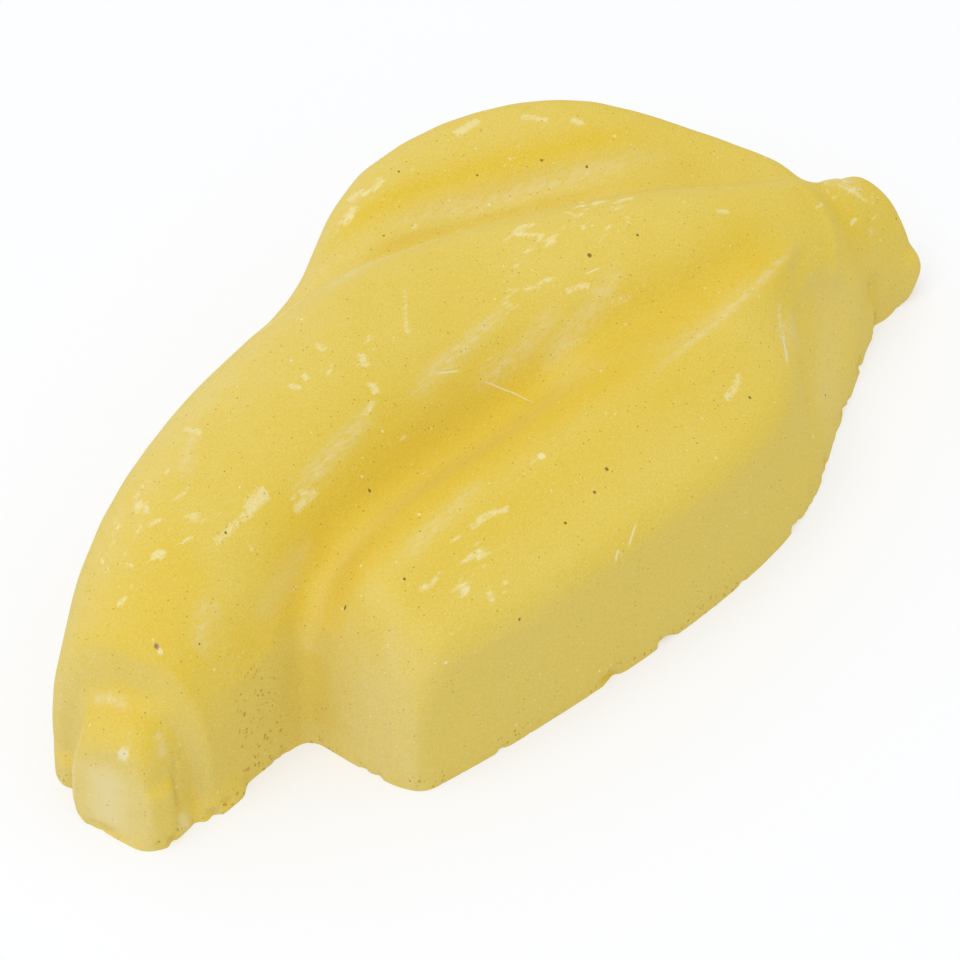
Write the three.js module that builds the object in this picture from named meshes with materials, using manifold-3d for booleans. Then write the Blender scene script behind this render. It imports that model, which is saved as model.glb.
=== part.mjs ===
// Banana-bunch bar: three bananas and their crown in half relief, cast on a flat back.
// The casting is divided where its mould grooves run, so each banana and the crown is a solid of its own.
// Millimetres. +X runs from the tips to the cut stem, +Y to the back banana, +Z up from the flat back.

import * as THREE from "three";
import { mergeVertices } from "three/addons/utils/BufferGeometryUtils.js";
import Module from "manifold-3d";

const wasm = await Module();
wasm.setup();

// ---- Driving dimensions ----

const GROOVE_GAP = 0.3; // clearance between neighbouring lobes
const CUTTER_FOOT = 2; // how far a cutting copy of a lobe reaches below the flat back
const ARCH_SEGMENTS = 26; // facets across a lobe
const RING_SPACING = 4; // length of a facet along a lobe
const FILLET_STEPS = 5; // rings that round each end
const FILLET_POWER = 2.2; // how square a rounded end is, where 2 is circular

// A lobe is an arch swept along a plan line. Its stations run from the tip to the stem:
//   x, y          where the plan line goes
//   left, right   half-widths on the +Y and -Y sides
//   height        top of the arch over the flat back
//   crest         how far the top lies to the +Y side of the plan line
//   lean          how much the -Y flank closes in on the plan line as it rises, from 0 to 1
// profile: corners of the arch from the foot of the -Y flank to the foot of the +Y flank, each as
// across (1 is the -Y foot, -1 the +Y foot), up (1 is the crest) and rounding (0 sharp, 1 fully round).
// roundHeight, roundWidth: the lengths over which the two ends are rounded off.
const MIDDLE = {
  stations: [
    { x: 5.5, y: 7.5, left: 8.5, right: 8.5, height: 21, crest: 0, lean: 0 },
    { x: 9.5, y: 9, left: 9.5, right: 9.5, height: 23, crest: 0, lean: 0 },
    { x: 21.5, y: 13, left: 11.5, right: 13, height: 30, crest: 1, lean: 0 },
    { x: 45, y: 16, left: 12.5, right: 14.5, height: 32.5, crest: 2, lean: 0 },
    { x: 64, y: 15.5, left: 11.5, right: 14.5, height: 30.5, crest: 1.5, lean: 0 },
    { x: 88, y: 8.5, left: 9, right: 11.5, height: 28, crest: -1.5, lean: 0 },
    { x: 108.5, y: 3.5, left: 4, right: 6.5, height: 21.5, crest: -2, lean: 0 },
  ],
  profile: [
    [1, 0, 0],
    [0.97, 0.5, 0.5],
    [0.6, 0.88, 0.9],
    [-0.1, 1.02, 0.9],
    [-0.72, 0.92, 0.9],
    [-1, 0.52, 0.8],
    [-1, 0, 0],
  ],
  roundHeight: [2, 4],
  roundWidth: [1, 2.5],
};
const TIP_STUB = {
  stations: [
    { x: 0, y: 6, left: 4, right: 4.5, height: 12.5, crest: 0, lean: 0 },
    { x: 4, y: 6.5, left: 5, right: 5.5, height: 15, crest: 0, lean: 0 },
    { x: 8.5, y: 7.5, left: 5.5, right: 6, height: 16.5, crest: 0, lean: 0 },
  ],
  profile: [
    [1, 0, 0],
    [1, 0.6, 0.7],
    [0.7, 0.97, 0.8],
    [-0.7, 0.97, 0.8],
    [-1, 0.6, 0.7],
    [-1, 0, 0],
  ],
  roundHeight: [3.5, 1.5],
  roundWidth: [1.5, 1],
};
const FRONT = {
  stations: [
    { x: 25, y: -8.5, left: 7.5, right: 5.5, height: 23.5, crest: 0, lean: 0 },
    { x: 38, y: -7, left: 8, right: 9, height: 24.5, crest: 0, lean: 0 },
    { x: 60, y: -8.5, left: 9, right: 9.5, height: 24, crest: 0, lean: 0 },
    { x: 79.5, y: -7.5, left: 9, right: 10, height: 23, crest: 0, lean: 0.2 },
    { x: 94, y: -3.5, left: 7, right: 8.5, height: 22.5, crest: 0, lean: 0.9 },
    { x: 109.5, y: 1, left: 4.5, right: 5.5, height: 19.5, crest: 0, lean: 1 },
  ],
  profile: [
    [1, 0, 0],
    [0.93, 0.76, 0.4],
    [-0.28, 1, 0.6],
    [-0.92, 0.9, 0.5],
    [-1.25, 0.55, 0.5],
    [-1.3, 0, 0],
  ],
  roundHeight: [5, 9],
  roundWidth: [1.5, 2.5],
};
const BACK = {
  stations: [
    { x: 43.5, y: 25, left: 9, right: 8, height: 21, crest: 0, lean: 0 },
    { x: 58, y: 27, left: 8.5, right: 9, height: 23.5, crest: -0.5, lean: 0 },
    { x: 74, y: 31, left: 9, right: 10, height: 28, crest: 1.5, lean: 0 },
    { x: 92.5, y: 23, left: 8, right: 10, height: 28.5, crest: 1.5, lean: 0 },
    { x: 113, y: 6, left: 2.5, right: 9.5, height: 17.5, crest: -2, lean: 0 },
  ],
  profile: [
    [1, 0, 0],
    [1, 0.5, 0.9],
    [0.62, 0.88, 0.9],
    [-0.1, 1.02, 0.9],
    [-0.75, 0.95, 0.9],
    [-1, 0.5, 0.8],
    [-1, 0, 0],
  ],
  roundHeight: [5, 5],
  roundWidth: [5, 2.5],
};
const CROWN = {
  stations: [
    { x: 96, y: 2.5, left: 9, right: 7, height: 26, crest: 2.5, lean: 0 },
    { x: 104.5, y: 2.5, left: 8, right: 8, height: 23, crest: 1, lean: 0 },
    { x: 113, y: 3.5, left: 5.5, right: 6.5, height: 17.5, crest: 0, lean: 0 },
    { x: 122.5, y: 5, left: 4.5, right: 7, height: 13.5, crest: -0.5, lean: 0 },
  ],
  profile: [
    [1, 0, 0],
    [0.98, 0.35, 0.9],
    [0.5, 0.9, 0.9],
    [-0.4, 1.04, 0.9],
    [-0.95, 0.6, 0.9],
    [-1, 0, 0],
  ],
  roundHeight: [2.5, 4.5],
  roundWidth: [3, 3.5],
};

// ---- Materials ----

const castYellow = (name, colour) =>
  new THREE.MeshStandardMaterial({ name, color: colour, roughness: 0.95, metalness: 0 });

// ---- Lobes ----

// One smooth curve through two of the stations' values.
const through = (stations, first, second) =>
  new THREE.SplineCurve(stations.map((s) => new THREE.Vector2(s[first], s[second])));

// How much of the full size a rounded end leaves at a distance from it.
function endShare(distance, length) {
  const inside = Math.min(Math.max(1 - distance / length, 0), 1);
  return (1 - inside ** FILLET_POWER) ** (1 / FILLET_POWER);
}

// Distances from an end at which rings round it off over a length.
const filletPlaces = (round) =>
  Array.from({ length: FILLET_STEPS }, (_, i) => {
    const angle = ((i + 1) / FILLET_STEPS) * (Math.PI / 2);
    return round * (1 - Math.cos(angle));
  });

// Distances of the rings along a plan line: close together at the rounded ends, even between them.
function ringPlaces(length, startRound, endRound) {
  const startPlaces = [0, ...startRound.flatMap(filletPlaces)];
  const endPlaces = [0, ...endRound.flatMap(filletPlaces)].map((distance) => length - distance);
  const from = Math.max(...startRound);
  const span = length - Math.max(...endRound) - from;
  const steps = Math.round(span / RING_SPACING);
  const body = Array.from({ length: steps - 1 }, (_, i) => from + (span * (i + 1)) / steps);
  return [...startPlaces, ...body, ...endPlaces].sort((a, b) => a - b);
}

// Points of the unit arch, evenly spaced along the profile with its corners rounded off.
function archPoints(profile) {
  const corners = profile.map(([across, up]) => new THREE.Vector2(across, up));
  const outline = new THREE.Path([corners[0]]);
  for (let i = 1; i + 1 < corners.length; i++) {
    const share = profile[i][2] / 2;
    const [into, away] = [corners[i - 1], corners[i + 1]].map((end) => corners[i].clone().lerp(end, share));
    outline.lineTo(into.x, into.y);
    outline.quadraticCurveTo(corners[i].x, corners[i].y, away.x, away.y);
  }
  outline.lineTo(corners.at(-1).x, corners.at(-1).y);
  return outline.getSpacedPoints(ARCH_SEGMENTS);
}

// Sweeps a lobe. A cutting copy is larger all round by grow and stands on a foot below the flat back.
function sweepLobe(lobe, grow = 0, foot = 0) {
  const plan = through(lobe.stations, "x", "y");
  const widths = through(lobe.stations, "left", "right");
  const tops = through(lobe.stations, "height", "crest");
  const leans = through(lobe.stations, "lean", "lean");
  const arch = archPoints(lobe.profile);
  const length = plan.getLength();
  const [startHeight, endHeight] = lobe.roundHeight;
  const [startWidth, endWidth] = lobe.roundWidth;
  const places = ringPlaces(length, [startHeight, startWidth], [endHeight, endWidth]);
  const positions = [];

  for (const place of places) {
    const t = plan.getUtoTmapping(place / length);
    const centre = plan.getPoint(t);
    const along = plan.getTangent(t);
    const stretch = (grow * (2 * place - length)) / length;
    const wide = endShare(place, startWidth) * endShare(length - place, endWidth);
    const high = endShare(place, startHeight) * endShare(length - place, endHeight);
    const [left, right] = [widths.getPoint(t).x * wide + grow, widths.getPoint(t).y * wide + grow];
    const [height, crest] = [tops.getPoint(t).x * high + grow, tops.getPoint(t).y * wide];
    const lean = leans.getPoint(t).x;
    for (const { x: across, y: up } of arch) {
      const flank = across > 0 ? (right + crest) * (1 - lean * up) : left - crest;
      const offset = crest - across * flank;
      positions.push(
        centre.x + along.x * stretch - along.y * offset,
        centre.y + along.y * stretch + along.x * offset,
        up > 0 ? height * up : -foot,
      );
    }
  }
  return solidOfRings(positions, places.length, arch.length);
}

// Joins rows of points into one closed solid: skin, flat back and, where a row is wide, the end face.
function solidOfRings(positions, rows, rowSize) {
  const faces = [];
  for (let row = 0; row + 1 < rows; row++) {
    for (let step = 0; step < rowSize; step++) {
      const next = (step + 1) % rowSize;
      const [a, b] = [row * rowSize + step, row * rowSize + next];
      const [c, d] = [a + rowSize, b + rowSize];
      faces.push(a, c, b, b, c, d);
    }
  }
  for (let step = 1; step + 1 < rowSize; step++) {
    const last = (rows - 1) * rowSize;
    faces.push(0, step, step + 1, last, last + step + 1, last + step);
  }
  const skin = new THREE.BufferGeometry();
  skin.setAttribute("position", new THREE.Float32BufferAttribute(positions, 3));
  skin.setIndex(faces);
  return toSolid(skin);
}

// ---- Solids ----

function toSolid(geometry) {
  const merged = mergeVertices(geometry, 1e-3);
  const index = merged.index.array;
  const kept = [];
  for (let i = 0; i < index.length; i += 3) {
    const [a, b, c] = index.subarray(i, i + 3);
    if (a !== b && b !== c && c !== a) kept.push(a, b, c);
  }
  const vertProperties = merged.getAttribute("position").array;
  return new wasm.Manifold(new wasm.Mesh({ numProp: 3, vertProperties, triVerts: new Uint32Array(kept) }));
}

// The largest body of a cut lobe, without any sliver left beyond its neighbour.
const mainBody = (solid) => solid.decompose().sort((a, b) => b.volume() - a.volume())[0];

function toMesh(name, solid, material) {
  const { vertProperties, triVerts } = solid.getMesh();
  const geometry = new THREE.BufferGeometry();
  geometry.setAttribute("position", new THREE.BufferAttribute(vertProperties, 3));
  geometry.setIndex(new THREE.BufferAttribute(triVerts, 1));
  geometry.computeVertexNormals();
  const mesh = new THREE.Mesh(geometry, material);
  mesh.name = name;
  return mesh;
}

const cutter = (lobe) => sweepLobe(lobe, GROOVE_GAP, CUTTER_FOOT);

const middle = sweepLobe(MIDDLE).add(sweepLobe(TIP_STUB));
const front = mainBody(sweepLobe(FRONT).subtract(cutter(MIDDLE)));
const back = mainBody(sweepLobe(BACK).subtract(cutter(MIDDLE)).subtract(cutter(FRONT)));
const crown = mainBody(
  sweepLobe(CROWN).subtract(cutter(MIDDLE)).subtract(cutter(FRONT)).subtract(cutter(BACK)),
);

// ---- The bunch, centred over the origin ----

const bunch = new THREE.Group();
bunch.add(
  toMesh("middle_banana", middle, castYellow("middle_yellow", 0xe3c75c)),
  toMesh("front_banana", front, castYellow("front_yellow", 0xe3c75c)),
  toMesh("back_banana", back, castYellow("back_yellow", 0xe3c75c)),
  toMesh("crown_stem", crown, castYellow("crown_yellow", 0xdcbf56)),
);
const extent = new THREE.Box3().setFromObject(bunch);
const centre = extent.getCenter(new THREE.Vector3());
bunch.position.set(-centre.x, -centre.y, 0);

export default bunch;
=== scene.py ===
"""Looks of the banana-bunch bar: a cast skin over the CAD lobes, its marks and colours, floor and light.

Lengths are millimetres in the row frame until a mesh is made, when they become metres.
"""

import math

import bmesh
import bpy
import numpy as np
import openvdb
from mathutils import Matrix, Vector, noise
from mathutils.kdtree import KDTree


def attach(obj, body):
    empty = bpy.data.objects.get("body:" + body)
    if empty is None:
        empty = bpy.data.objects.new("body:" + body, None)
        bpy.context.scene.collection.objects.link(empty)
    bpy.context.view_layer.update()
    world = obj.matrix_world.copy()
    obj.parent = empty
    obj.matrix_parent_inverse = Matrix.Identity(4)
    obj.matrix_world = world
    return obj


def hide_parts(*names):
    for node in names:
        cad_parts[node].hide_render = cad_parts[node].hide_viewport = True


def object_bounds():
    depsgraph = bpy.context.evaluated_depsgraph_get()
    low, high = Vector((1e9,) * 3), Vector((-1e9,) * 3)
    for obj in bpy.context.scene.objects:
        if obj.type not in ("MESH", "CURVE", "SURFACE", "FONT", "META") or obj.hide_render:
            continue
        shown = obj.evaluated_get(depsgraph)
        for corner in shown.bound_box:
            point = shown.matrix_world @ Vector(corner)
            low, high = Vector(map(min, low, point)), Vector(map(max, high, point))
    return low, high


MM = 0.001
VOXEL = 0.4  # mesh spacing of the skin
PAD = 8.0  # room round the bunch in the distance field
FOOT = 6.0  # the lobes reach this far below the floor until the skin is cut flat
GROOVE_RADIUS = 2.5  # fillet where two bananas meet, at the crown
TIP_RADIUS = 1.2  # fillet where two bananas meet, at the tips
FACET_BLUR = 0.7  # softening that takes the facets out of the lobes
FILLET_FROM, FILLET_TO = -35, 25  # the fillet grows from the tips' radius to the crown's between these x
CELL_TOP = 60  # the cells that divide the skin reach above everything
CUT_TURN = 0.5  # a face of the cut is turned further from the skin than this cosine
HOLLOW_ROUNDS = 40  # smoothing that tells a hollow from a ridge

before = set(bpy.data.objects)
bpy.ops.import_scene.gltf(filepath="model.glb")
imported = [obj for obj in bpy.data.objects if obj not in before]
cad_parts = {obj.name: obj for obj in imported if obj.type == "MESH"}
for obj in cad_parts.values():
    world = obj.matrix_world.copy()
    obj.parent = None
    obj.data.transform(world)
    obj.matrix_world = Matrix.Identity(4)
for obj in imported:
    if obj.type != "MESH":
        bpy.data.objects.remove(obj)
cad_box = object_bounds()

# ---- Where one piece of the skin ends and the next starts, in plan ----
# Corners at 50 mm and beyond lie well outside the bunch.

NOTCH_PATH = [(-42, -50), (-38.5, -14)]
MIDDLE_FRONT = [(-35.5, -10.8), (-30, -9.5), (-20, -8.8), (-10, -8.8), (0, -9), (10, -9.5), (20, -10.5)]
MIDDLE_FRONT += [(30, -11.1), (40, -11.8)]
CROWN_FRONT = [(44, -13.4), (46, -14.2), (48, -15.6), (56, -50)]
MIDDLE_CROWN = [(44, -13.4), (46.3, -10), (47.4, -7), (46.4, -4)]
MIDDLE_BACK = [(46.4, -4), (40, -1), (35, 1.7), (30, 4.6), (20, 9.6), (10, 13.4), (0, 15.5), (-10, 16.9)]
MIDDLE_BACK += [(-16, 17.4), (-20, 19), (-26, 50)]
CROWN_BACK = [(46.4, -4), (48, -3.8), (50, -2.8), (53, 0), (70, 50)]
CELLS = {
    "middle_banana": NOTCH_PATH + MIDDLE_FRONT + MIDDLE_CROWN + MIDDLE_BACK[1:] + [(-90, 50), (-90, -50)],
    "front_banana": NOTCH_PATH + MIDDLE_FRONT + CROWN_FRONT,
    "back_banana": MIDDLE_BACK[::-1] + CROWN_BACK[1:],
    "crown_stem": CROWN_FRONT[::-1] + MIDDLE_CROWN[1:] + CROWN_BACK[1:] + [(90, 50), (90, -50)],
}


# ---- Distance field of the bunch ----


def lobe_mesh(node):
    """Vertices in mm and triangles of a CAD lobe, its flat back pushed down to the foot."""
    bm = bmesh.new()
    bm.from_mesh(node.data)
    bmesh.ops.remove_doubles(bm, verts=bm.verts, dist=1e-6)
    bmesh.ops.triangulate(bm, faces=bm.faces)
    points = np.array([v.co for v in bm.verts], np.float32) / MM
    triangles = np.array([[v.index for v in f.verts] for f in bm.faces], np.uint32)
    bm.free()
    points[points[:, 2] < 0.001, 2] = -FOOT
    return points, triangles


class Field:
    """A box of distances to a surface, negative inside."""

    def __init__(self, low, high):
        self.first = np.floor(np.array(low) / VOXEL).astype(int)
        self.shape = tuple(np.ceil(np.array(high) / VOXEL).astype(int) - self.first + 1)

    def of_mesh(self, points, band, triangles=None, quads=None):
        transform = openvdb.createLinearTransform(voxelSize=VOXEL)
        grid = openvdb.FloatGrid.createLevelSetFromPolygons(
            points, triangles=triangles, quads=quads, transform=transform, halfWidth=band / VOXEL
        )
        values = np.empty(self.shape, np.float32)
        grid.copyToArray(values, ijk=tuple(int(i) for i in self.first))
        return values

    def surface(self, values, level):
        grid = openvdb.FloatGrid(float(values.max()))
        grid.copyFromArray(values, ijk=tuple(int(i) for i in self.first))
        grid.transform = openvdb.createLinearTransform(voxelSize=VOXEL)
        return grid.convertToQuads(level)


def blurred(values, sigma):
    reach = int(math.ceil(2.5 * sigma / VOXEL))
    weights = np.exp(-0.5 * (np.arange(-reach, reach + 1) * VOXEL / sigma) ** 2)
    weights /= weights.sum()
    for axis in range(3):
        padded = np.pad(values, [(reach, reach) if a == axis else (0, 0) for a in range(3)], mode="edge")
        total = np.zeros_like(values)
        for k, weight in enumerate(weights):
            window = [slice(None)] * 3
            window[axis] = slice(k, k + values.shape[axis])
            total += weight * padded[tuple(window)]
        values = total
    return values


def smooth_step(value, start, end):
    t = np.clip((value - start) / (end - start), 0, 1)
    return t * t * (3 - 2 * t)


def filleted(field, values, radius):
    """The same solid with its inside corners rounded to a radius: grown, then shrunk back."""
    points, quads = field.surface(values, radius)
    grown = field.of_mesh(points, radius + 4 * VOXEL, quads=quads)
    return grown + radius


def cast_skin():
    """Vertices and quads of the whole bunch as one cast surface."""
    low, high = (np.array(corner) / MM for corner in cad_box)
    low[2] = -FOOT
    field = Field(low - PAD, high + PAD)
    band = GROOVE_RADIUS + 4 * VOXEL
    union = None
    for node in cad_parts.values():
        points, triangles = lobe_mesh(node)
        lobe = field.of_mesh(points, band, triangles=triangles)
        union = lobe if union is None else np.minimum(union, lobe)
    grooves = filleted(field, union, GROOVE_RADIUS)
    tip = filleted(field, union, TIP_RADIUS)
    along = (field.first[0] + np.arange(field.shape[0])) * VOXEL
    share = smooth_step(along, FILLET_FROM, FILLET_TO)[:, None, None].astype(np.float32)
    values = blurred(grooves * share + tip * (1 - share), FACET_BLUR)
    points, quads = field.surface(values, 0.0)
    return points.astype(float), quads.astype(int)


# ---- Skin tools ----


def face_normals(points, quads):
    return np.cross(points[quads[:, 2]] - points[quads[:, 0]], points[quads[:, 3]] - points[quads[:, 1]])


def vertex_normals(points, quads):
    normal = face_normals(points, quads)
    total = np.zeros_like(points)
    for corner in range(4):
        for axis in range(3):
            total[:, axis] += np.bincount(quads[:, corner], normal[:, axis], len(points))
    return total / np.maximum(np.linalg.norm(total, axis=1, keepdims=True), 1e-12)


def neighbour_mean(points, quads):
    total = np.zeros_like(points)
    count = np.zeros(len(points))
    for corner in range(4):
        here, there = quads[:, corner], quads[:, (corner + 1) % 4]
        count += np.bincount(here, minlength=len(points)) + np.bincount(there, minlength=len(points))
        for axis in range(3):
            total[:, axis] += np.bincount(here, points[there, axis], len(points))
            total[:, axis] += np.bincount(there, points[here, axis], len(points))
    return total / np.maximum(count, 1)[:, None]


def skin_mesh(name, points, quads):
    mesh = bpy.data.meshes.new(name)
    mesh.from_pydata((points * MM).tolist(), [], quads.tolist())
    mesh.update()
    return mesh


# ---- Pieces ----


def cell_prism(outline):
    bm = bmesh.new()
    floor = [bm.verts.new((x * MM, y * MM, 0)) for x, y in outline]
    face = bm.faces.new(floor)
    top = bmesh.ops.extrude_face_region(bm, geom=[face])["geom"]
    for v in top:
        if isinstance(v, bmesh.types.BMVert):
            v.co.z = CELL_TOP * MM
    bmesh.ops.recalc_face_normals(bm, faces=bm.faces)
    mesh = bpy.data.meshes.new("cell")
    bm.to_mesh(mesh)
    bm.free()
    return bpy.data.objects.new("cell", mesh)


def nearest_points(mesh, tree):
    """The four skin points nearest to each vertex, and how much each one counts."""
    found = [tree.find_n(v.co, 4) for v in mesh.vertices]
    nearest = np.array([[i for _, i, _ in four] for four in found])
    gap = np.array([[distance for _, _, distance in four] for four in found]) / MM
    weights = 1 / (gap + 1e-4) ** 2
    return nearest, weights / weights.sum(1, keepdims=True)


def skin_piece(name, skin, tree, normals, layers):
    """The part of the skin inside one plan cell, cut flat at the floor, shaded as the whole skin is."""
    cell = cell_prism(CELLS[name])
    piece = bpy.data.objects.new("cast_" + name, skin.data.copy())
    for obj in (cell, piece):
        bpy.context.scene.collection.objects.link(obj)
    cut = piece.modifiers.new("cell", "BOOLEAN")
    cut.operation = "INTERSECT"
    cut.solver = "MANIFOLD"
    cut.object = cell
    bpy.context.view_layer.update()
    mesh = bpy.data.meshes.new_from_object(piece.evaluated_get(bpy.context.evaluated_depsgraph_get()))
    piece.modifiers.clear()
    mesh.materials.clear()
    piece.data = mesh
    bpy.data.objects.remove(cell)
    nearest, weights = nearest_points(mesh, tree)
    for layer, values in layers.items():
        attribute = mesh.attributes.new(layer, "FLOAT", "POINT")
        attribute.data.foreach_set("value", (values[nearest] * weights).sum(1).astype(np.float32))
    smooth = [Vector(n).normalized() for n in (normals[nearest] * weights[:, :, None]).sum(1)]
    corner_normals = []
    for face in mesh.polygons:
        face.use_smooth = True
        wanted = [smooth[v] for v in face.vertices]
        if min(face.normal.dot(n) for n in wanted) < CUT_TURN:
            wanted = [face.normal] * len(wanted)
        corner_normals += [tuple(n) for n in wanted]
    mesh.normals_split_custom_set(corner_normals)
    return piece


# ---- Sculpting ----


def trail(knots, step=0.4):
    """Points along one smooth curve through the knots."""
    knots = np.array(knots, float)
    ends = np.vstack([knots[:1], knots, knots[-1:]])
    out = []
    for i in range(len(knots) - 1):
        p0, p1, p2, p3 = ends[i : i + 4]
        count = max(2, int(np.linalg.norm(p2 - p1) / step))
        t = np.linspace(0, 1, count, endpoint=False)[:, None]
        v1, v2 = (p2 - p0) / 2, (p3 - p1) / 2
        cubic = 2 * p1 - 2 * p2 + v1 + v2
        square = 3 * p2 - 3 * p1 - 2 * v1 - v2
        out.append(cubic * t**3 + square * t**2 + v1 * t + p1)
    out.append(knots[-1:])
    return np.vstack(out)


def brush(points, knots, width, fade=0.2):
    """How strongly a stroke along the knots touches each point, from 0 to 1, fading at both its ends.
    Knots of two numbers are a stroke seen from above; knots of three lie on the skin."""
    path = trail(knots)
    size = path.shape[1]
    reach = 2.6 * width
    low, high = path.min(0) - reach, path.max(0) + reach
    near = np.flatnonzero(np.all((points[:, :size] > low) & (points[:, :size] < high), axis=1))
    best = np.full(len(near), np.inf)
    where = np.zeros(len(near))
    for i, knot in enumerate(path):
        distance = ((points[near, :size] - knot) ** 2).sum(1)
        closer = distance < best
        best[closer] = distance[closer]
        where[closer] = i / (len(path) - 1)
    touch = np.zeros(len(points))
    ends = smooth_step(np.minimum(where, 1 - where), 0, fade) if fade else 1.0
    touch[near] = np.exp(-best / width**2) * ends
    return touch


def rough(points, size, seed):
    """Smooth noise from -1 to 1 with features of a size."""
    shift = Vector((seed * 7.3, seed * 3.1, seed * 5.7))
    return np.array([noise.noise(Vector(p) / size + shift) for p in points])


def relaxed(points, quads, rounds, share):
    for _ in range(rounds):
        points = points + (neighbour_mean(points, quads) - points) * share
    return points


# The groove between the middle and front bananas is filled a little, straight up, before it is smoothed:
# knots in plan, width, height.
FILL = [
    ([(-33, -9), (-27, -8.3), (-18, -8), (-8, -8), (4, -8.4), (16, -9.6)], 2.2, 1.0),
    ([(-39, -13), (-33, -12), (-28, -11.4), (-20, -10.9), (-8, -10.9), (4, -11.2), (18, -11.8)], 2.4, 1.5),
]
# Places where the casting is smoothed: knots, width, rounds.
EASED = [
    ([(-35, -11.5), (-29, -10), (-14, -10), (4, -10.8), (24, -11.5)], 5.0, 150),
    ([(-37, -11.5, 17), (-33, -11, 20), (-28, -11, 21), (-22, -11, 21.5)], 4.0, 160),
    ([(-52, -5), (-50.5, -9), (-46, -10), (-42, -8)], 3.0, 40),
    ([(-56, -9, 14), (-54, -9.5, 8), (-54, -9.5, 0)], 1.8, 30),
]
# Flat places: a point, which way it faces, how far it reaches.
FLATS = [
    ((-60.0, -4.5, 6), (-0.97, -0.24, 0.06), 7),  # end of the tip stub
    ((-57.0, -10.7, 4), (-0.25, -0.96, 0.1), 5),  # its right flank
    ((-61, -1.5, 0.8), (-0.84, 0.24, -0.48), 4),  # its chipped bottom corner
    ((59.3, -11.0, 9), (0.84, -0.41, 0.35), 8),  # cut end of the stem stub
    ((59.6, -13.6, 3.2), (0.43, -0.85, -0.28), 5),  # its lower corner
    ((35.5, -18.5, 9), (0.43, -0.79, 0.43), 8),  # end of the front banana
]
# Raised and sunk lines that the mould left, in mm: knots on the skin, width, height.
MOULD_LINES = [
    # tip stub: channel beside it and the rim of the blunt end
    ([(-57, -6, 14.5), (-55, -7.5, 14), (-53.5, -9, 11), (-52.8, -10, 6), (-53, -10, -2)], 0.9, -0.7),
    ([(-54.5, -2, 20), (-52.5, -6, 19.5), (-51.5, -8.5, 16), (-51, -10, 12), (-51, -10.5, 2)], 0.7, 0.35),
    ([(-57.5, -9.3, 8), (-57, -9.8, 3), (-57, -9.8, -3)], 2.0, 1.3),
    # flash line down the left edge of the tip stub and the hollow beside it
    ([(-57.5, -0.5, 14), (-59.5, -0.5, 11), (-60.5, -0.8, 7), (-61, -1, 1)], 0.4, 0.5),
    ([(-58, 2, 12), (-58.5, 2.5, 6), (-58.5, 2.5, 2)], 0.9, -0.3),
    # foot of the casting flares a little beside the tip stub
    ([(-59, 2.8, 4), (-59, 2.8, -1)], 1.4, 1.4),
    ([(-56, -10.5, 1), (-53, -10.5, 0), (-49.5, -10.5, 0), (-46, -10.5, 0)], 2.0, 1.1),
    # crease along the side of the middle banana
    ([(-38, -9, 18), (-41.5, -10, 15), (-45, -10, 14), (-49, -9.5, 14.5)], 0.8, 0.12),
    # groove deeper where it opens into the notch
    ([(-36, -10, 16), (-33.5, -9.3, 18.5), (-29, -9, 20)], 2.2, -0.4),
    # crest of the middle banana
    ([(-49, 0), (-44, 3), (-38, 5), (-28, 8), (-16, 9.5), (-2, 9)], 1.2, 0.25),
    # web in the groove beside the back banana
    ([(-6, 17.5), (4, 16.8), (11, 14.5), (20, 10.5), (30, 5.5), (38, 1.5)], 2.2, 1.4),
    ([(-8, 19), (2, 20), (12, 17.5), (20, 14), (30, 9.5), (39, 5)], 1.2, 0.4),
    # shoulder of the middle banana above that groove
    ([(-5, 12.5), (4, 11.8), (13, 10.5), (21, 8), (28, 4.5)], 1.0, -0.25),
    # hollow and lip along the top of the front banana
    ([(-22, -14.5), (-16, -15.5), (-8, -17)], 1.2, -0.15),
    ([(8, -16.5), (17.5, -15.5), (25.5, -15), (33.5, -13.5), (40, -11.5)], 0.5, 0.18),
    # ridge between the crown and the stub, and the neck beside it
    ([(44.5, -5, 22), (45, -9, 21), (45, -11, 19.5), (44, -13, 16.5), (42, -15, 12)], 0.9, 0.35),
    ([(49, -5, 19), (49, -11, 16.5), (50, -13.5, 10.5), (51, -14.5, 4)], 2.6, -0.8),
    ([(51.5, -14, 8), (52, -14, 4), (52, -14, -1)], 1.1, -1.0),
    # sunk line under the shoulder of the front banana
    ([(40.5, -11.5, 20.5), (36, -15, 18.5), (31, -18, 18.5), (26, -21.5, 17)], 1.8, -0.45),
    # stub: top edge and lower corner
    ([(52, -4, 17), (54, -6, 16.5)], 1.8, 0.4),
    ([(59.5, -11.5, 6), (59, -12.5, 3), (58, -13, 0)], 1.8, 1.0),
    # double crease down the corner of the front banana and a faint one along its side
    ([(-34, -20.5, 17), (-35, -21.5, 10), (-36, -22, 0)], 0.6, 0.35),
    ([(-33, -22.5, 17), (-34.5, -23.5, 10), (-35, -24, 0)], 0.6, 0.4),
    ([(-32, -24.5, 16), (-27.5, -25.5, 16), (-22, -26.5, 15.5), (-17, -27, 14.5)], 0.6, 0.12),
]
CRACK = [(-54.5, -9.5, 9.5), (-55, -10, 6.5), (-55, -10.2, 3.5)]
CRACK_DEPTH, CRACK_WIDTH = 0.5, 0.4
UNEVEN = [(0.2, 14.0), (0.05, 3.0)]  # unevenness of the whole casting: height, size
SOFTEN_ROUNDS = 5  # smoothing of the mould lines
CHIP_DEPTH = 0.8  # how far the bottom edge is chipped
CHIP_SIZES = 4.0, 1.4  # size of a chip and of its ragged edge
PRESSED = 0.85  # share of what stands proud that a flat place takes away


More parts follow.
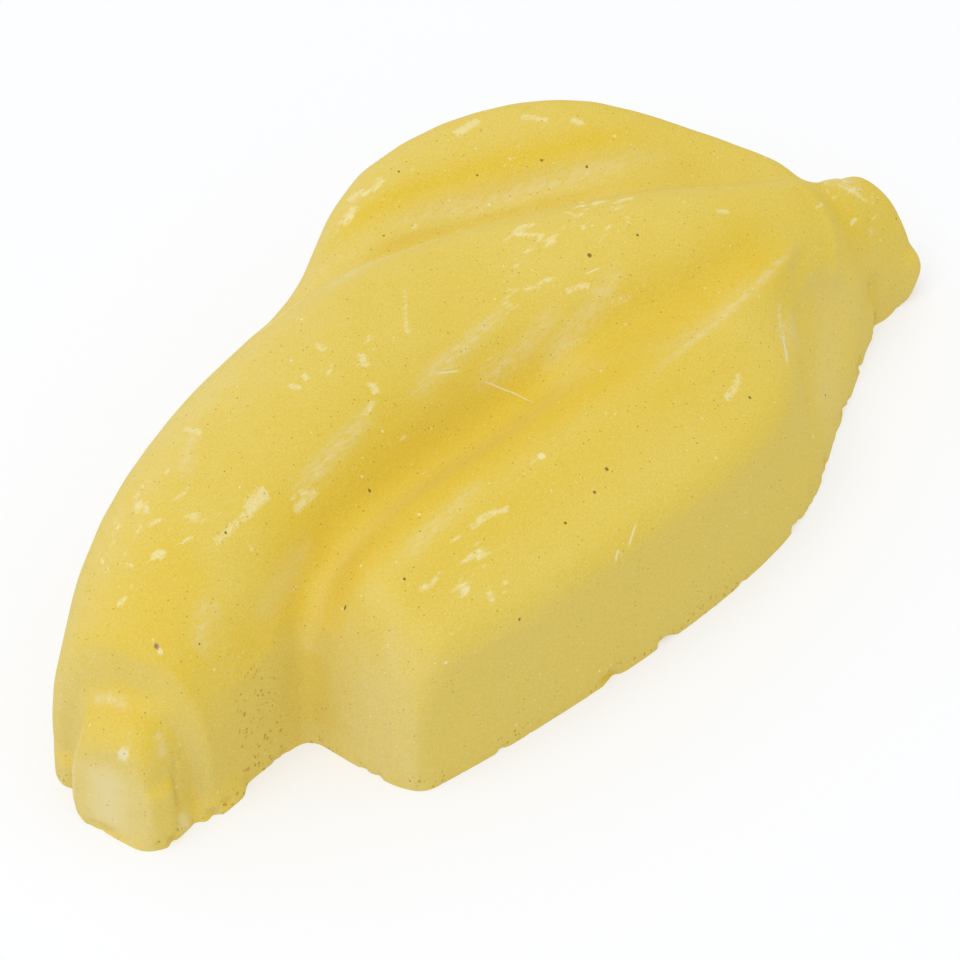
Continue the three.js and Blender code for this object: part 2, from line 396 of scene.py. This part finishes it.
def eased(points, quads):
    """Creases smoothed away along the places given."""
    points = points.copy()
    for knots, width, height in FILL:
        points[:, 2] += height * brush(points, knots, width)
    for knots, width, rounds in EASED:
        touch = 0.5 * brush(points, knots, width, fade=0.1)[:, None]
        for _ in range(rounds):
            points = points + (neighbour_mean(points, quads) - points) * touch
    return points


def flattened(points):
    """What stands proud of each flat place pressed back to it."""
    points = points.copy()
    for spot, facing, reach in FLATS:
        facing = np.array(facing) / np.linalg.norm(facing)
        proud = np.maximum((points - spot) @ facing, 0)
        near = 1 - smooth_step(np.linalg.norm(points - spot, axis=1), 0.8 * reach, 1.3 * reach)
        points -= (PRESSED * proud * near)[:, None] * facing
    return points


def sculpted(points, quads):
    """Flat places, mould lines, gentle unevenness and a chipped bottom edge."""
    points = eased(points, quads)
    normals = vertex_normals(points, quads)
    lift = sum(height * rough(points, size, seed) for seed, (height, size) in enumerate(UNEVEN, 1))
    for knots, width, height in MOULD_LINES:
        lift += height * brush(points, knots, width)
    points = relaxed(flattened(points + normals * lift[:, None]), quads, SOFTEN_ROUNDS, 0.5)
    chips = rough(points, CHIP_SIZES[0], 3) + 0.5 * rough(points, CHIP_SIZES[1], 4)
    chips = smooth_step(chips, 0.15, 0.75)
    depth = CHIP_DEPTH * chips * (1 - smooth_step(points[:, 2], 0.2, 1.2 + 1.6 * chips))
    depth += CRACK_DEPTH * brush(points, CRACK, CRACK_WIDTH)
    return points - normals * depth[:, None]


# ---- Marks that handling left, painted on the skin ----

# Single rubs seen from above: knots, widest half width, strength.
RUBS = [
    ([(-42, -3), (-38, -3), (-34.5, -3)], 0.5, 0.8),
    ([(-37, -2.8), (-33.5, -2.5)], 0.8, 1.0),
    ([(-32.5, -4.8), (-28.5, -4.6)], 0.45, 0.9),
    ([(-32, -4), (-29.5, -4.3)], 0.3, 0.8),
    ([(-39, -5), (-38.2, -5)], 0.5, 0.8),
    ([(-4.5, 6), (-8.5, 2)], 0.35, 0.75),
    ([(-7.5, 3), (-8.7, 1.6)], 0.45, 0.9),
    ([(-14.5, 2.7), (-15.5, 1)], 0.6, 0.95),
    ([(-16, 0), (-16.5, -1.5)], 0.7, 1.0),
    ([(-19.5, -2.2), (-16.5, -1.5)], 0.35, 0.9),
    ([(-24, 4), (-22.7, 3)], 0.55, 0.9),
    ([(-21.5, 4.2), (-21.8, 3)], 0.55, 0.85),
    ([(-18, 6), (-17.5, 4.5)], 0.55, 0.85),
    ([(-35, 8), (-34.5, 5.3)], 0.5, 0.95),
    ([(-44, 6), (-41.5, 6.3)], 0.3, 0.8),
    ([(6, -1), (10.5, -2)], 0.35, 0.85),
    ([(10, -3.5), (13, -4.5)], 0.4, 0.95),
    ([(10.5, 4.5), (13, 2)], 0.4, 1.0),
    ([(17.5, 3.7), (18, 2)], 0.4, 0.9),
    ([(22, -1.5), (21, -3)], 0.35, 0.85),
    ([(31, -6.3), (33, -7)], 0.4, 0.9),
    ([(13, -6.5), (16.5, -7.5)], 0.5, 0.6),
    ([(6, -6.5), (9, -7.2)], 0.5, 0.5),
    ([(19, 21), (23, 20.5)], 0.75, 0.95),
    ([(26, 17.8), (28.2, 15)], 0.5, 0.9),
    ([(30, 14), (31.2, 12.5)], 0.6, 0.95),
    ([(3.5, 22.3), (5.5, 22.6)], 0.7, 0.9),
    ([(5.3, 24), (7.5, 23.2)], 0.7, 0.9),
    ([(-20.7, -18.3), (-18, -18), (-15, -19)], 0.5, 0.9),
    ([(-23.5, -23.3), (-24, -24.5)], 0.5, 0.9),
    ([(-21.5, -23.3), (-21.5, -24.5)], 0.5, 0.8),
    ([(14, -22.5), (16, -22), (18.5, -21)], 0.55, 0.85),
    ([(52, -6.5), (54, -9)], 0.7, 0.8),
    ([(-20, 12.3), (-13, 12.6)], 0.35, 0.8),
]
# Long faint smears, and painted light on two end faces turned to the light: knots, half width, strength.
SMEARS_AND_SHEEN = [
    ([(-42, -8.5), (-36, -7.5), (-31, -6.5)], 0.7, 0.18),
    ([(-32, -4), (-24, -3), (-17, -2)], 0.8, 0.4),
    ([(-14, -3), (-6, -2), (4, -1.2)], 0.6, 0.5),
    ([(-6, -4.5), (2, -4.6), (9, -4)], 0.7, 0.35),
    ([(2, -6.5), (11, -6), (18, -5)], 0.8, 0.35),
    ([(-12, 11), (-4, 12), (6, 10)], 0.7, 0.4),
    ([(-30, -16.5), (-22, -15.5), (-14, -14.5)], 0.9, 0.3),
    ([(12, -14.5), (22, -14.4), (31, -13.2)], 0.6, 0.15),
    ([(-40, 3), (-34, 7)], 0.8, 0.35),
    ([(-49, -7.5), (-46, -6), (-44, -6.5)], 0.9, 0.3),
    ([(26, -20), (33, -17)], 0.9, 0.25),
    ([(-44, 7), (-36, 9.5), (-22, 9.5), (-10, 9)], 4.5, 0.12),
    # mottled web beside the back banana
    (
        [(2, 18.3), (5.5, 17.4), (10.5, 16.2), (15.5, 13.8), (21, 11.3), (26.5, 8.8), (32, 6.8), (39, 4.3)],
        1.0,
        0.35,
    ),
    # two short scratches on the shoulder of the front banana, a pale smear with painted light over its end
    # face, its lip, and the scuffed stub
    ([(30.5, -16, 19.5), (29, -17.5, 19), (26.5, -20.5, 18)], 0.3, 1.0),
    ([(28.5, -18.5, 18), (27, -20, 18), (25, -22, 17.5)], 0.3, 1.0),
    ([(46, -14, 13), (39.5, -17, 9), (34, -19.5, 6), (28, -22, 4)], 5.0, 0.16),
    ([(8, -16.5), (17.5, -15.5), (25.5, -15), (33.5, -13.5), (40, -11.5)], 0.4, 0.5),
    ([(51, -4), (54, -5.5), (56, -7)], 1.8, 0.45),
    # end of the tip stub painted paler, partly smear and partly painted light on a face turned to the
    # light, its scuffed top, and the smear in the channel
    ([(-60, -4.5, 10.5), (-60.5, -5.2, 6), (-61, -5.2, 0)], 2.8, 0.6),
    ([(-57.5, -0.5, 14), (-56.5, -2.5, 15), (-56, -5, 15)], 0.6, 0.55),
    ([(-55, -8, 13.5), (-56, -9, 10.5)], 0.6, 0.5),
    ([(-57.5, -0.5, 14), (-59.5, -0.5, 11), (-60.5, -0.8, 7), (-61, -1, 1)], 0.35, 0.7),
    ([(-59, -6, 12), (-59, -7.5, 12)], 0.7, 1.6),
    ([(-55, -10.5, 3), (-54.5, -10.5, 0)], 0.8, 0.5),
]
# Places painted a deeper, darker yellow: painted shade in the grooves, the notch, the channels and on
# flanks turned from the light, and a deeper tone on some tops; the painted sheen is held off them. Knots,
# half width, strength.
SHADE_AND_TONE_STROKES = [
    ([(-40, -10), (-32, -7), (-20, -6.5), (-6, -7.5), (8, -8)], 4.5, 0.75),
    ([(4, -9.5), (16, -10.5), (28, -11.5), (38, -10.5)], 4.0, 0.72),
    ([(-44, -14), (-37, -13), (-28, -12.5), (-14, -12.5), (4, -13.2), (18, -14)], 3.5, 0.8),
    ([(-37.5, -11, 14), (-37.5, -11.5, 8), (-38, -12, 2)], 3.5, 1.0),
    ([(-46, -7.5, 17), (-41, -8.5, 17), (-34, -9.5, 19)], 3.0, 0.7),
    ([(-4, 21.5), (4.5, 20.7), (12, 19), (19.5, 15.7), (26, 12.5), (32.5, 9.7), (38, 7)], 1.7, 0.8),
    ([(-58, -6, 14), (-55, -7, 14.5)], 1.6, 0.3),
    ([(-42, -3), (-49, -2), (-58, -3), (-62, -4)], 6.0, 0.5),
    ([(-37, -14, 19), (-36, -20, 19)], 4.0, 0.55),
    ([(-36, -19), (-24, -18.5), (-4, -18.5), (10, -17), (24, -15)], 4.5, 0.4),
    ([(-52, -3, 21), (-50, -8, 17)], 2.5, 0.4),
    ([(48, -6, 19), (49, -11, 16), (51, -13, 10)], 2.5, 0.5),
]
# Single spots seen from above, by kind: place, radius.
SPOTS = {
    "pale": [
        ((21, 4), 0.45),
        ((20, 3), 0.4),
        ((-8, -16.5), 0.55),
        ((-52, -5.5), 0.35),
    ],
    "blot": [
        ((-52, -5), 0.32),
    ],
    "hole": [
        ((15, -2.5), 0.28),
        ((24, 12.5), 0.18),
        ((27.5, 9), 0.18),
        ((21, -4), 0.18),
        ((17, -23.5), 0.2),
        ((-3.5, -21.5), 0.24),
        ((-6.5, -22.5), 0.2),
        ((-34.5, -14), 0.15),
        ((-23, -6.5), 0.18),
        ((-11.5, -23), 0.18),
        ((-30, -18), 0.18),
        ((17.5, 16), 0.15),
        ((11.5, 22), 0.15),
        ((-40, -3), 0.15),
    ],
}
# Thin scratches seen from above.
SCORES = [
    [(-4, -4.5), (-2.5, -5.5), (-1, -7), (-0.7, -9)],
    [(-8.6, -2.4), (-6, -3.1)],
    [(-9, -27.6), (-7.3, -27)],
    [(-7, -27.6), (-4.8, -26.8)],
    [(28.5, -18), (25.8, -20.6)],
    [(27.6, -19.2), (24.8, -22.2)],
    [(13, -3.5), (15, -4)],
]
# Places where small rubs gather: centre, spread along x, spread along y, strength.
WORN = [
    ((-46, 2), 7, 4, 0.9),
    ((-20, 3), 8, 4, 0.55),
    ((14, 1), 12, 4, 0.95),
    ((32, -3), 6, 4, 0.7),
    ((18, 14), 14, 3, 0.6),
    ((8, 22), 10, 3, 0.8),
    ((-24, -21), 8, 3, 0.9),
    ((30, -15), 5, 3, 0.7),
    ((52, -6), 6, 6, 1.0),
    ((0, -10), 60, 25, 0.25),
]


def handling_marks(points, normals):
    """Strength of the larger rubs, of the smears with their painted light, of the painted shade and deeper
    tone, and of the small rubs at each point.
    """
    up = smooth_step(normals[:, 2], 0.1, 0.5)
    rubs = np.zeros(len(points))
    for knots, width, strength in RUBS:
        rubs = np.maximum(rubs, strength * up * brush(points, knots, width, fade=0.15))
    smears_and_sheen = np.zeros(len(points))
    for knots, width, strength in SMEARS_AND_SHEEN:
        smears_and_sheen = np.maximum(smears_and_sheen, strength * brush(points, knots, width, fade=0.3))
    worn = np.zeros(len(points))
    for centre, along, across, strength in WORN:
        x, y = (points[:, 0] - centre[0]) / along, (points[:, 1] - centre[1]) / across
        worn = np.maximum(worn, strength * np.exp(-0.5 * (x**2 + y**2)))
    shade_and_tone = np.zeros(len(points))
    # painted shade and deeper tone along the strokes
    for knots, width, strength in SHADE_AND_TONE_STROKES:
        shade_and_tone = np.maximum(shade_and_tone, strength * brush(points, knots, width, fade=0.2))
    return rubs, smears_and_sheen, shade_and_tone, worn * (0.25 + 0.75 * up)


def pitted(points):
    """Where the casting is pitted: a patch beside the notch, and here and there along the bottom edge."""
    patch = np.exp(-0.5 * (((points - (-43.5, -10.5, 5.5)) / (2.2, 3.0, 6.0)) ** 2).sum(1))
    base = (1 - smooth_step(points[:, 2], 0.5, 3.5)) * smooth_step(rough(points, 6.0, 5), -0.3, 0.3)
    return np.maximum(patch, 0.7 * base)


def thin_scratches(points):
    """Signed distance in mm to the scratch beside each point, and how deep the scratch is there."""
    side = np.full(len(points), 9.0)
    depth = np.zeros(len(points))
    for knots in SCORES:
        path = trail(knots, 0.2)
        low, high = path.min(0) - 1.2, path.max(0) + 1.2
        near = np.flatnonzero(np.all((points[:, :2] > low) & (points[:, :2] < high), axis=1))
        gap = points[near, None, :2] - path[None]
        nearest = (gap**2).sum(2).argmin(1)
        way = np.gradient(path, axis=0)[nearest]
        way /= np.linalg.norm(way, axis=1, keepdims=True)
        offset = gap[np.arange(len(near)), nearest]
        across = way[:, 0] * offset[:, 1] - way[:, 1] * offset[:, 0]
        along = nearest / (len(path) - 1)
        strength = smooth_step(np.minimum(along, 1 - along), 0, 0.25)
        beside = (np.abs(across) < 1.0) & (np.linalg.norm(offset, axis=1) < 1.0)
        side[near[beside]] = across[beside]
        depth[near[beside]] = strength[beside]
    return side, depth


points, quads = cast_skin()
centres = points[quads].mean(axis=1)
if (face_normals(points, quads) * centres).sum() < 0:
    quads = quads[:, ::-1]
points = sculpted(points, quads)

normals = vertex_normals(points, quads)
rubs, smears_and_sheen, shade_and_tone, worn = handling_marks(points, normals)
score_side, score_depth = thin_scratches(points)
layers = {
    # concavity: used for painted shade in hollows, and for paler worn edges on ridges
    "hollow": ((relaxed(points, quads, HOLLOW_ROUNDS, 0.5) - points) * normals).sum(1),
    "rub": rubs,
    "smear_and_sheen": smears_and_sheen,
    "shade_and_tone": shade_and_tone,
    "worn": worn,
    "pitted": pitted(points),
    "crack": brush(points, CRACK, 0.5, fade=0.1),
    "score_side": score_side,
    "score_depth": score_depth,
}
skin = bpy.data.objects.new("skin", skin_mesh("skin", points, quads))
tree = KDTree(len(points))
for i, p in enumerate(points * MM):
    tree.insert(p, i)
tree.balance()

# ---- Chalky yellow ----


class Shader:
    """Builds one node material."""

    def __init__(self, name):
        self.material = bpy.data.materials.new(name)
        self.material.use_nodes = True
        self.nodes = self.material.node_tree.nodes
        self.links = self.material.node_tree.links
        self.surface = self.nodes["Principled BSDF"]

    def put(self, socket, value):
        if isinstance(value, bpy.types.NodeSocket):
            self.links.new(value, socket)
        else:
            socket.default_value = value

    def add(self, kind, *values, **settings):
        node = self.nodes.new("ShaderNode" + kind)
        for key, value in settings.items():
            setattr(node, key, value)
        for socket, value in zip(node.inputs, values):
            if value is not None:
                self.put(socket, value)
        return node

    def math(self, operation, *values, clamp=False):
        return self.add("Math", *values, operation=operation, use_clamp=clamp).outputs[0]

    def times(self, first, second):
        return self.math("MULTIPLY", first, second)

    def ramp(self, value, low, high, out_low=0.0, out_high=1.0):
        node = self.add("MapRange", value, low, high, out_low, out_high, interpolation_type="SMOOTHSTEP")
        return node.outputs[0]

    def mix(self, share, first, second):
        node = self.nodes.new("ShaderNodeMix")
        node.data_type = "RGBA"
        self.put(node.inputs[0], share)
        self.put(node.inputs[6], first)
        self.put(node.inputs[7], second)
        return node.outputs[2]

    def noise(self, place, per_mm, detail=2.0, roughness=0.5):
        node = self.add("TexNoise")
        self.put(node.inputs["Vector"], place)
        self.put(node.inputs["Scale"], per_mm)
        self.put(node.inputs["Detail"], detail)
        self.put(node.inputs["Roughness"], roughness)
        return node.outputs[0]

    def stretched(self, place, scale, turn=0.0):
        """The place turned about z, then scaled."""
        turned = self.add("Mapping", place)
        turned.inputs["Rotation"].default_value = (0, 0, math.radians(turn))
        turned.inputs["Scale"].default_value = scale
        return turned.outputs[0]

    def toward(self, direction):
        """How far the surface faces a direction, from -1 to 1."""
        normal = self.add("NewGeometry").outputs["Normal"]
        facing = self.add("VectorMath", normal, Vector(direction).normalized(), operation="DOT_PRODUCT")
        return facing.outputs["Value"]

    def attribute(self, name):
        return self.add("Attribute", attribute_name=name).outputs["Fac"]

    def dots(self, place, per_mm, share, radius):
        """Round spots of up to a radius in mm, in a share of the cells of a pattern."""
        cells = self.add("TexVoronoi")
        self.put(cells.inputs["Vector"], place)
        self.put(cells.inputs["Scale"], per_mm)
        split = self.add("SeparateColor", cells.outputs["Color"])
        chosen = self.math("GREATER_THAN", split.outputs[0], 1 - share)
        size = self.ramp(split.outputs[1], 0, 1, radius * per_mm * 0.4, radius * per_mm)
        depth = self.math("SUBTRACT", 1.0, self.math("DIVIDE", cells.outputs["Distance"], size))
        return self.times(self.math("MULTIPLY", depth, 2.0, clamp=True), chosen)


MAIN = (0.745, 0.556, 0.068, 1)
CLOUDY = (0.755, 0.580, 0.100, 1)
# painted shade: a deeper, darker yellow for hollows and shaded grooves
DEEP_SHADE = (0.750, 0.525, 0.023, 1)
# painted shade: a duller, darker yellow for steep walls
SIDE_SHADE = (0.700, 0.545, 0.120, 1)
# pale cream of the smears and worn edges, also used as painted sheen
FILM_AND_SHEEN = (0.800, 0.700, 0.400, 1)
RUBBED = (0.860, 0.775, 0.420, 1)
# painted shade inside the pin holes
PIN_HOLE_SHADE = (0.200, 0.130, 0.035, 1)
# painted shade inside pits and the crack
PIT_SHADE = (0.580, 0.320, 0.018, 1)
GRIT = (0.560, 0.390, 0.060, 1)
SPECK = (0.880, 0.820, 0.520, 1)
BLOT = (0.330, 0.170, 0.150, 1)


class Chalk(Shader):
    """Matte cast yellow, with places in millimetres."""

    def __init__(self, name):
        super().__init__(name)
        per_mm = 1 / MM
        self.place = self.stretched(self.add("TexCoord").outputs["Object"], (per_mm, per_mm, per_mm))
        self.mottle = self.noise(self.place, 0.6, 4.0, 0.6)
        self.grain = self.noise(self.place, 4.5, 3.0, 0.7)
        self.scuff = self.noise(self.place, 3.2, 4.0, 0.65)
        self.up = self.toward((0, 0, 1))

    def body(self):
        """The cast colour: a deeper, darker yellow painted as shade in hollows and along the shade strokes,
        darker walls painted as shade on the sides, a painted pale sheen on faces turned to the light, paler
        worn edges, and grain.
        """
        cloud = self.noise(self.place, 0.07, 3.0, 0.55)
        hollow = self.attribute("hollow")
        shade_and_tone = self.attribute("shade_and_tone")
        colour = self.mix(self.ramp(cloud, 0.3, 0.7, 0.0, 0.7), MAIN, CLOUDY)
        # painted shade: a deeper, darker yellow in hollows and along the shade strokes
        painted_shade = self.math("MAXIMUM", self.ramp(hollow, -0.05, 0.7, 0.0, 0.8), shade_and_tone)
        colour = self.mix(painted_shade, colour, DEEP_SHADE)
        # painted shade: walls turned sideways darker and greyer
        colour = self.mix(self.ramp(self.up, 0.55, 0.0, 0.0, 0.7), colour, SIDE_SHADE)
        # painted sheen: paler on faces turned towards -x and +y, held off the shade strokes and mottled
        painted_sheen = self.ramp(self.toward((-0.8, 0.6, 0)), -0.7, 0.95, 0.0, 0.28)
        painted_sheen = self.times(painted_sheen, self.math("SUBTRACT", 1.0, shade_and_tone))
        painted_sheen = self.times(painted_sheen, self.ramp(self.mottle, 0.25, 0.7, 0.7, 1.2))
        colour = self.mix(painted_sheen, colour, FILM_AND_SHEEN)
        edge = self.times(self.ramp(hollow, -0.2, -0.9), self.ramp(self.mottle, 0.3, 0.6))
        colour = self.mix(self.times(edge, 0.25), colour, FILM_AND_SHEEN)
        colour = self.mix(self.ramp(self.grain, 0.5, 0.8, 0.0, 0.45), colour, GRIT)
        return self.mix(self.ramp(self.grain, 0.5, 0.2, 0.0, 0.3), colour, SPECK)

    def with_smears_and_sheen(self, colour):
        """Long pale smears, some of them painted light on end faces turned to the light, streaky where the
        surface faces up.
        """
        streak = self.noise(self.stretched(self.place, (0.3, 1.0, 1.0), -12), 2.2, 4.0, 0.65)
        streak = self.math("SUBTRACT", self.ramp(streak, 0.35, 0.65, 0.25, 1.3), 1.0)
        texture = self.math("ADD", self.times(streak, self.ramp(self.up, 0.2, 0.6)), 1.0)
        return self.mix(self.times(self.attribute("smear_and_sheen"), texture), colour, FILM_AND_SHEEN)

    def rubbed(self, colour):
        """The larger rubs, with feathery edges, and small flakes where the surface is worn."""
        hair = self.noise(self.stretched(self.place, (0.25, 1.0, 1.0), -14), 5.0, 2.0, 0.6)
        broken = self.math("SUBTRACT", self.math("ADD", self.scuff, hair), 1.0)
        rub = self.ramp(self.math("ADD", self.attribute("rub"), broken), 0.35, 0.9)
        colour = self.mix(self.times(rub, 0.6), colour, RUBBED)
        limit = self.ramp(self.attribute("worn"), 0.0, 1.0, 0.76, 0.6)
        flakes = 0.0
        for turn, per_mm in ((-8, 0.62), (-35, 0.8)):
            flake = self.noise(self.stretched(self.place, (0.34, 1.0, 1.0), turn), per_mm, 3.0, 0.5)
            patch = self.math("MULTIPLY", self.math("SUBTRACT", flake, limit), 14.0, clamp=True)
            flakes = self.math("MAXIMUM", patch, flakes)
        return self.mix(self.times(flakes, self.ramp(self.scuff, 0.3, 0.6, 0.2, 0.75)), colour, RUBBED)

    def scratches(self):
        side = self.math("ABSOLUTE", self.attribute("score_side"))
        return self.times(self.ramp(side, 0.14, 0.04), self.attribute("score_depth"))

    def spots(self, kind):
        """Where the single spots of a kind are."""
        plan = self.stretched(self.place, (1, 1, 0))
        spots = 0.0
        for (x, y), radius in SPOTS[kind]:
            distance = self.add("VectorMath", plan, (x, y, 0), operation="DISTANCE").outputs["Value"]
            spots = self.math("MAXIMUM", spots, self.ramp(distance, radius, 0.5 * radius))
        return spots

    def pits(self):
        """Close pits where the casting is pitted."""
        small = self.dots(self.stretched(self.place, (1, 1, 0.7)), 2.1, 0.8, 0.17)
        large = self.dots(self.stretched(self.place, (1, 1, 0.6)), 1.1, 0.4, 0.24)
        return self.times(self.math("MAXIMUM", small, large), self.ramp(self.attribute("pitted"), 0.1, 0.5))

    def pin_holes(self):
        """Pin holes all over, faint smaller ones, and the single ones."""
        faint = self.times(self.dots(self.place, 1.6, 0.5, 0.11), 0.5)
        scattered = self.math("MAXIMUM", self.dots(self.place, 0.5, 0.05, 0.2), faint)
        return self.math("MAXIMUM", scattered, self.spots("hole"))

    def specks(self):
        large, small = self.dots(self.place, 0.61, 0.1, 0.25), self.dots(self.place, 1.37, 0.1, 0.14)
        return self.math("MAXIMUM", large, small)

    def bumped(self, sunk, scratches):
        """The normal of the grain, with the holes and scratches sunk into it."""
        height = self.math("ADD", self.times(self.grain, 0.07), self.times(self.mottle, 0.10))
        height = self.math("SUBTRACT", height, self.times(sunk, 0.12))
        height = self.math("SUBTRACT", height, self.times(scratches, 0.06))
        bump = self.add("Bump")
        self.put(bump.inputs["Height"], height)
        bump.inputs["Distance"].default_value = MM
        bump.inputs["Strength"].default_value = 0.82
        return bump.outputs[0]


def chalk(name):
    """The material of one piece of the casting."""
    s = Chalk(name)
    scratches, pits, holes = s.scratches(), s.pits(), s.pin_holes()
    colour = s.rubbed(s.with_smears_and_sheen(s.body()))
    colour = s.mix(s.times(scratches, 0.7), colour, RUBBED)
    # painted shade in the pits
    colour = s.mix(s.times(pits, 0.85), colour, PIT_SHADE)
    colour = s.mix(s.times(s.spots("pale"), 0.8), colour, RUBBED)
    colour = s.mix(s.times(s.spots("blot"), 0.8), colour, BLOT)
    colour = s.mix(s.times(s.specks(), 0.6), colour, SPECK)
    # painted shade in the pin holes
    colour = s.mix(s.times(holes, 0.9), colour, PIN_HOLE_SHADE)
    # painted shade in the crack
    colour = s.mix(s.ramp(s.attribute("crack"), 0.45, 0.9, 0.0, 0.75), colour, PIT_SHADE)
    s.put(s.surface.inputs["Base Color"], colour)
    s.put(s.surface.inputs["Roughness"], s.ramp(s.grain, 0.2, 0.8, 0.82, 0.96))
    s.surface.inputs["Specular IOR Level"].default_value = 0.3
    s.put(s.surface.inputs["Normal"], s.bumped(s.math("MAXIMUM", holes, pits), scratches))
    return s.material


CASTS = {
    "middle_banana": "middle_cast",
    "front_banana": "front_cast",
    "back_banana": "back_cast",
    "crown_stem": "crown_cast",
}
for node, slot in CASTS.items():
    piece = skin_piece(node, skin, tree, normals, layers)
    piece.data.materials.append(chalk(slot))
    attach(piece, "root")
    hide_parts(node)
bpy.data.meshes.remove(skin.data)

# ---- Floor, light, camera ----


def soft_light(name, place, target, size, power):
    data = bpy.data.lights.new(name, "AREA")
    data.shape = "DISK"
    data.size = size
    data.energy = power
    light = bpy.data.objects.new(name, data)
    light.location = place
    light.rotation_euler = (Vector(target) - Vector(place)).to_track_quat("-Z", "Y").to_euler()
    bpy.context.scene.collection.objects.link(light)


FLOOR_SIZE = 6.0  # metres
PAPER = (0.45, 0.455, 0.47, 1)
PAPER_GLOW, GLOW_STRENGTH = (0.985, 0.990, 1.0, 1), 0.51  # keeps the paper white right round the object
ROOM_LIGHT = 0.82
LOOK_AT = Vector((-4.6, -4.8, 10.14)) * MM
CAMERA_DISTANCE = 0.48434  # metres
AZIMUTH, ELEVATION, VIEW_ANGLE = math.radians(-47.29), math.radians(43.74), math.radians(12)

bpy.ops.mesh.primitive_plane_add(size=FLOOR_SIZE)
floor = bpy.context.object
floor.name = "floor"
paper = bpy.data.materials.new("paper")
paper.use_nodes = True
shader = paper.node_tree.nodes["Principled BSDF"]
shader.inputs["Base Color"].default_value = PAPER
shader.inputs["Emission Color"].default_value = PAPER_GLOW
shader.inputs["Emission Strength"].default_value = GLOW_STRENGTH
shader.inputs["Roughness"].default_value = 0.9
floor.data.materials.append(paper)

world = bpy.data.worlds.new("studio")
world.use_nodes = True
world.node_tree.nodes["Background"].inputs["Color"].default_value = (1, 1, 1, 1)
world.node_tree.nodes["Background"].inputs["Strength"].default_value = ROOM_LIGHT
bpy.context.scene.world = world
soft_light("key", place=(-0.4, 0.0, 0.95), target=(0, 0, 0), size=0.7, power=3.0)

scene = bpy.context.scene
scene.view_settings.view_transform = "Standard"
scene.view_settings.look = "None"

ahead = math.cos(ELEVATION)
back = Vector((math.sin(AZIMUTH) * ahead, -math.cos(AZIMUTH) * ahead, math.sin(ELEVATION)))
lens = bpy.data.cameras.new("camera")
lens.sensor_fit = "HORIZONTAL"
lens.angle = VIEW_ANGLE
lens.clip_start = 0.01
camera = bpy.data.objects.new("camera", lens)
camera.location = LOOK_AT + back * CAMERA_DISTANCE
camera.rotation_euler = (-back).to_track_quat("-Z", "Y").to_euler()
scene.collection.objects.link(camera)
scene.camera = camera
